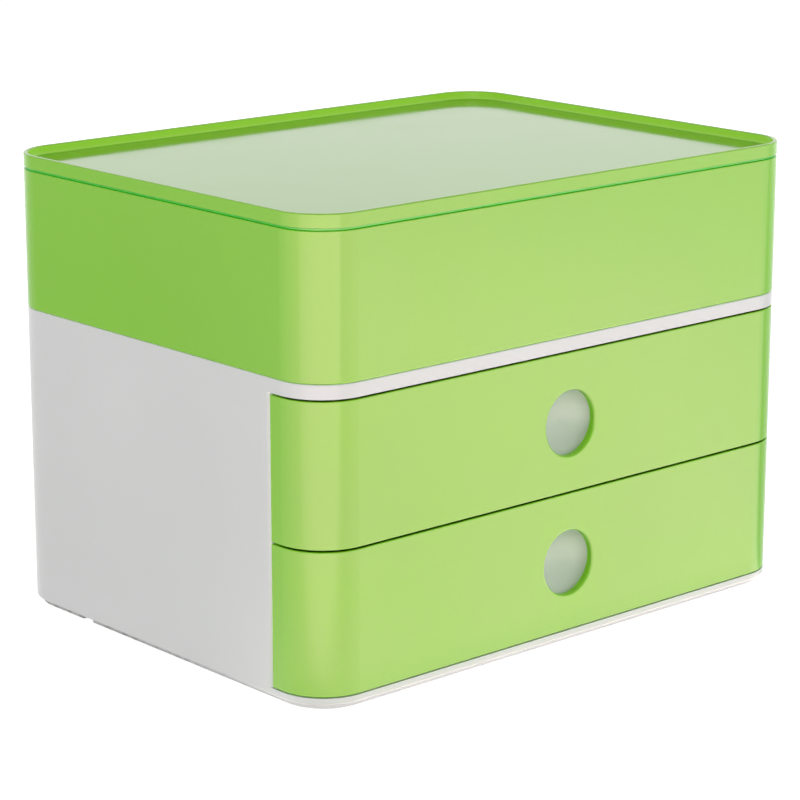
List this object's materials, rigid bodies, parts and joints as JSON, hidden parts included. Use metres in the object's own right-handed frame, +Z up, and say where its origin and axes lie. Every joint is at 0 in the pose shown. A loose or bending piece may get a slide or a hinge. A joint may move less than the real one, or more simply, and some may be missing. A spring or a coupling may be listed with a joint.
{
  "type": "desk organizer with drawers",
  "caption": "Compact desktop box: a white case with wrap-round green drawers under a lidded green storage box, all sharing one rounded outline and a raised rim.",
  "frame": {"origin": "on the table, under the middle of the footprint", "axes": "+X to the right as seen from the front, +Y to the back, +Z up; the drawers open towards -Y"},
  "size_m": [0.26, 0.195, 0.1888],
  "materials": {
    "case_white": "glossy white moulded plastic",
    "lime_green": "glossy lime green moulded plastic",
    "cup_pale": "satin pale grey-white moulded plastic",
    "divider_clear": "satin white moulded plastic",
    "foot_rubber": "matt black rubber"
  },
  "bodies": {
    "case": {"case_shell": "case_white", "foot_front_left": "foot_rubber", "foot_front_right": "foot_rubber", "foot_back_left": "foot_rubber", "foot_back_right": "foot_rubber"},
    "lower_drawer": {"lower_drawer_tray": "lime_green", "lower_grip_cup": "cup_pale"},
    "upper_drawer": {"upper_drawer_tray": "lime_green", "upper_grip_cup": "cup_pale"},
    "storage_box": {"storage_box": "lime_green", "long_divider": "divider_clear", "short_divider_left": "divider_clear", "short_divider_right": "divider_clear"},
    "lid": {"box_lid": "lime_green"}
  },
  "joints": [
    {"name": "lower_drawer_slide", "type": "slide", "parent": "case", "child": "lower_drawer", "axis": [0, -1, 0], "range_m": [0, 0.1335]},
    {"name": "upper_drawer_slide", "type": "slide", "parent": "case", "child": "upper_drawer", "axis": [0, -1, 0], "range_m": [0, 0.1335]},
    {"name": "storage_box_lift", "type": "slide", "parent": "case", "child": "storage_box", "axis": [0, 0, 1], "range_m": [0, 0.12]},
    {"name": "lid_lift", "type": "slide", "parent": "storage_box", "child": "lid", "axis": [0, 0, 1], "range_m": [0, 0.08]}
  ]
}
